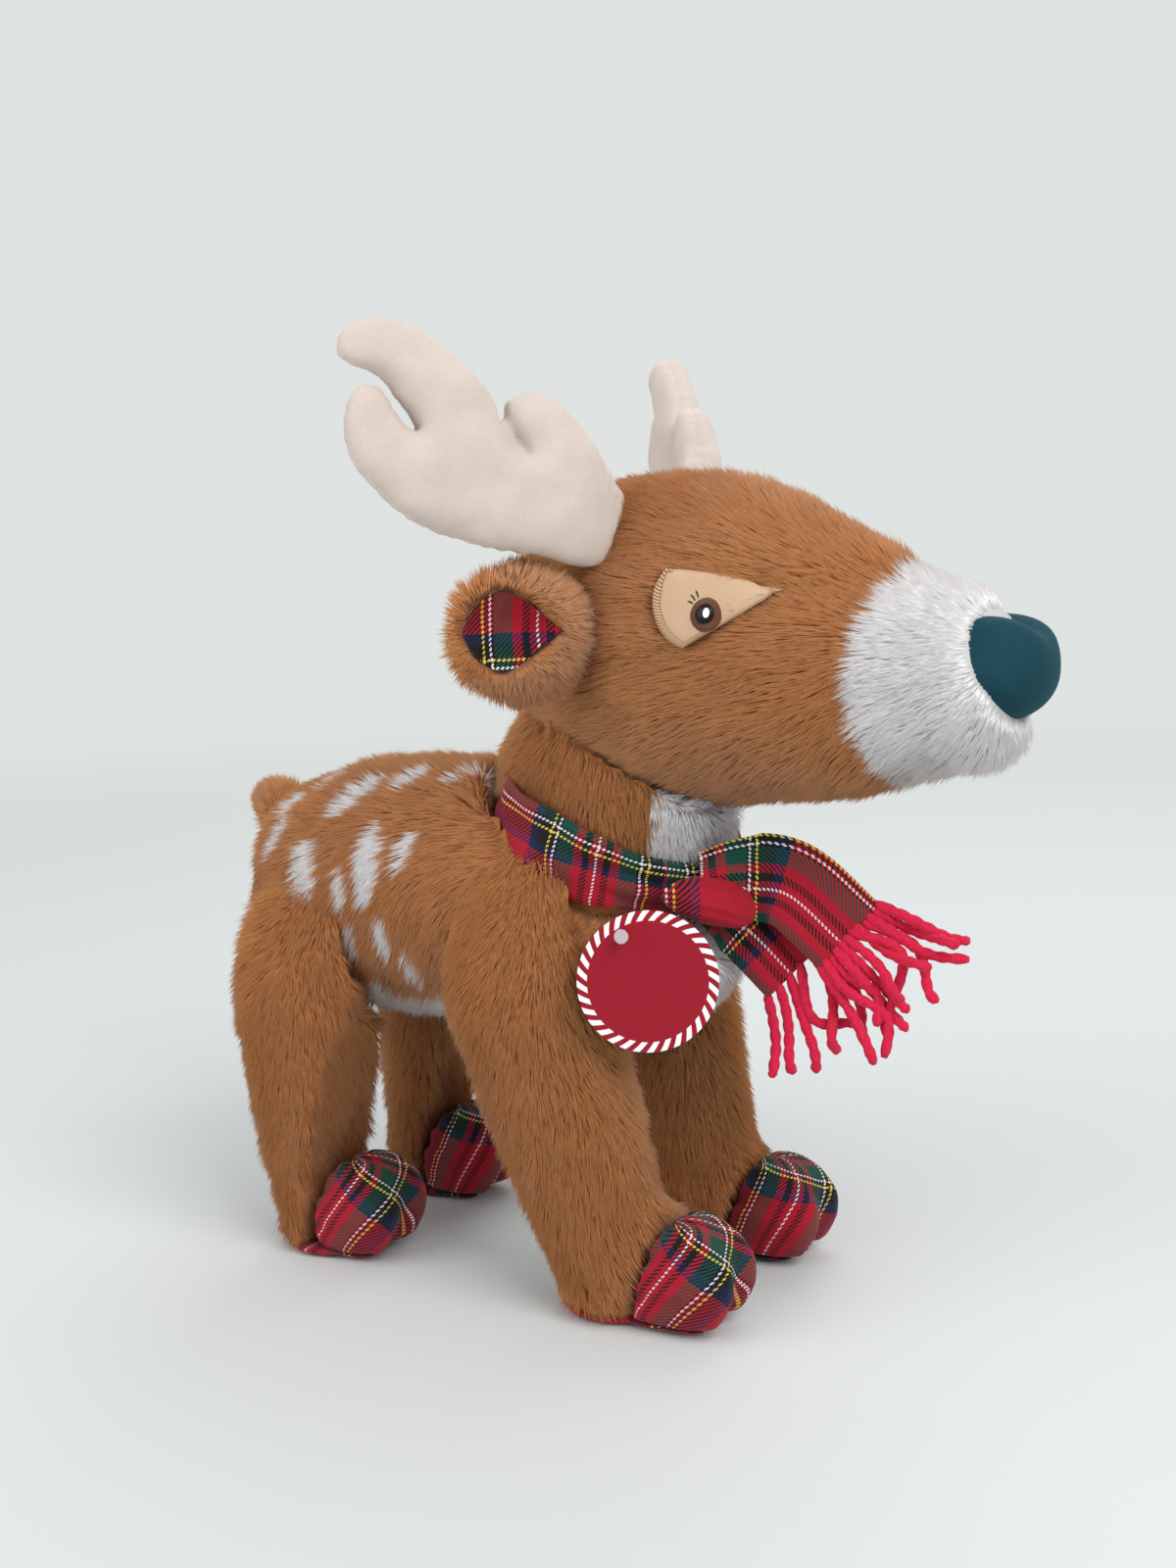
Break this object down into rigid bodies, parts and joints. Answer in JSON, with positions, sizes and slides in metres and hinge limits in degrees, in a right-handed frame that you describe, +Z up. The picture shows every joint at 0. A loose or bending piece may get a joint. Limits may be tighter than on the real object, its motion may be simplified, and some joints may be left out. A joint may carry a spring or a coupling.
{
  "type": "plush deer",
  "caption": "Stuffed toy deer standing on stubby legs, with a spotted back, soft antlers, tartan hooves, a fringed tartan scarf and a round swing tag.",
  "frame": {"origin": "on the floor, under the middle of the outer box", "axes": "+Z up; the deer looks along -Y, so its right side is at -X"},
  "size_m": [0.2198, 0.3426, 0.358],
  "materials": {
    "brown_plush": "long pile, matt",
    "white_plush": "long pile, matt",
    "beige_velour": "short pile, matt",
    "nose_velour": "short pile, matt",
    "eye_thread": "satin stitch",
    "tartan_cloth": "twill, matt",
    "red_yarn": "soft, matt",
    "stuffing": "fluffy, matt",
    "printed_card": "coated card, satin",
    "clear_plastic": "translucent"
  },
  "bodies": {
    "body": {"torso_cover": "brown_plush", "belly_panel": "white_plush", "chest_panel": "white_plush", "torso_stuffing": "stuffing", "neck_cover": "brown_plush", "throat_panel": "white_plush", "neck_stuffing": "stuffing", "scarf_band": "tartan_cloth", "scarf_knot": "tartan_cloth", "tag_barb": "clear_plastic"},
    "head": {"head_cover": "brown_plush", "head_stuffing": "stuffing", "muzzle": "white_plush", "nose": "nose_velour", "eye_patch_right": "beige_velour", "eye_patch_left": "beige_velour", "eye_right": "eye_thread", "eye_left": "eye_thread"},
    "ear_right": {"ear_right": "brown_plush", "ear_lining_right": "tartan_cloth"},
    "ear_left": {"ear_left": "brown_plush", "ear_lining_left": "tartan_cloth"},
    "antler_right": {"antler_right": "beige_velour", "antler_stuffing_right": "stuffing"},
    "antler_left": {"antler_left": "beige_velour", "antler_stuffing_left": "stuffing"},
    "front_leg_right": {"front_leg_right": "brown_plush", "front_leg_stuffing_right": "stuffing", "front_hoof_right": "tartan_cloth", "front_sole_right": "tartan_cloth"},
    "front_leg_left": {"front_leg_left": "brown_plush", "front_leg_stuffing_left": "stuffing", "front_hoof_left": "tartan_cloth", "front_sole_left": "tartan_cloth"},
    "rear_leg_right": {"rear_leg_right": "brown_plush", "rear_leg_stuffing_right": "stuffing", "rear_hoof_right": "tartan_cloth", "rear_sole_right": "tartan_cloth"},
    "rear_leg_left": {"rear_leg_left": "brown_plush", "rear_leg_stuffing_left": "stuffing", "rear_hoof_left": "tartan_cloth", "rear_sole_left": "tartan_cloth"},
    "tail": {"tail": "brown_plush"},
    "scarf_ends": {"scarf_end_upper": "tartan_cloth", "scarf_end_lower": "tartan_cloth", "fringe_upper": "red_yarn", "fringe_lower": "red_yarn"},
    "swing_tag": {"swing_tag": "printed_card"}
  },
  "joints": [
    {"name": "head_nod", "type": "hinge", "parent": "body", "child": "head", "pos_m": [0, -0.01461, 0.22921], "axis": [-1, 0, 0], "range_deg": [-6, 12], "stiffness_Nm_per_rad": 1},
    {"name": "ear_right_flop", "type": "hinge", "parent": "head", "child": "ear_right", "pos_m": [-0.042, -0.02247, 0.252], "axis": [0, 0, 1], "range_deg": [-20, 20], "stiffness_Nm_per_rad": 0.005},
    {"name": "ear_left_flop", "type": "hinge", "parent": "head", "child": "ear_left", "pos_m": [0.042, -0.02247, 0.252], "axis": [0, 0, -1], "range_deg": [-20, 20], "stiffness_Nm_per_rad": 0.005},
    {"name": "antler_right_flop", "type": "hinge", "parent": "head", "child": "antler_right", "pos_m": [-0.038, -0.02647, 0.28676], "axis": [-0.7771, 0.6293, 0], "range_deg": [-8, 8], "stiffness_Nm_per_rad": 0.05},
    {"name": "antler_left_flop", "type": "hinge", "parent": "head", "child": "antler_left", "pos_m": [0.038, -0.02647, 0.28676], "axis": [-0.7771, -0.6293, 0], "range_deg": [-8, 8], "stiffness_Nm_per_rad": 0.05},
    {"name": "front_leg_right_swing", "type": "hinge", "parent": "body", "child": "front_leg_right", "pos_m": [-0.044, 0.01852, 0.152], "axis": [-1, 0, 0], "range_deg": [-12, 12], "stiffness_Nm_per_rad": 0.6},
    {"name": "front_leg_left_swing", "type": "hinge", "parent": "body", "child": "front_leg_left", "pos_m": [0.044, 0.01852, 0.152], "axis": [-1, 0, 0], "range_deg": [-12, 12], "stiffness_Nm_per_rad": 0.6},
    {"name": "rear_leg_right_swing", "type": "hinge", "parent": "body", "child": "rear_leg_right", "pos_m": [-0.044, 0.11253, 0.138], "axis": [-1, 0, 0], "range_deg": [-12, 12], "stiffness_Nm_per_rad": 0.6},
    {"name": "rear_leg_left_swing", "type": "hinge", "parent": "body", "child": "rear_leg_left", "pos_m": [0.044, 0.11253, 0.138], "axis": [-1, 0, 0], "range_deg": [-12, 12], "stiffness_Nm_per_rad": 0.6},
    {"name": "tail_lift", "type": "hinge", "parent": "body", "child": "tail", "pos_m": [0, 0.14802, 0.164], "axis": [1, 0, 0], "range_deg": [0, 20], "stiffness_Nm_per_rad": 0.001},
    {"name": "scarf_ends_swing", "type": "hinge", "parent": "body", "child": "scarf_ends", "pos_m": [-0.021, -0.05448, 0.1598], "axis": [-1, 0, 0], "range_deg": [-10, 10], "stiffness_Nm_per_rad": 0.01},
    {"name": "swing_tag_lift", "type": "hinge", "parent": "body", "child": "swing_tag", "pos_m": [-0.05402, -0.03779, 0.1479], "axis": [-0.515, 0.8572, 0], "range_deg": [0, 40]}
  ]
}
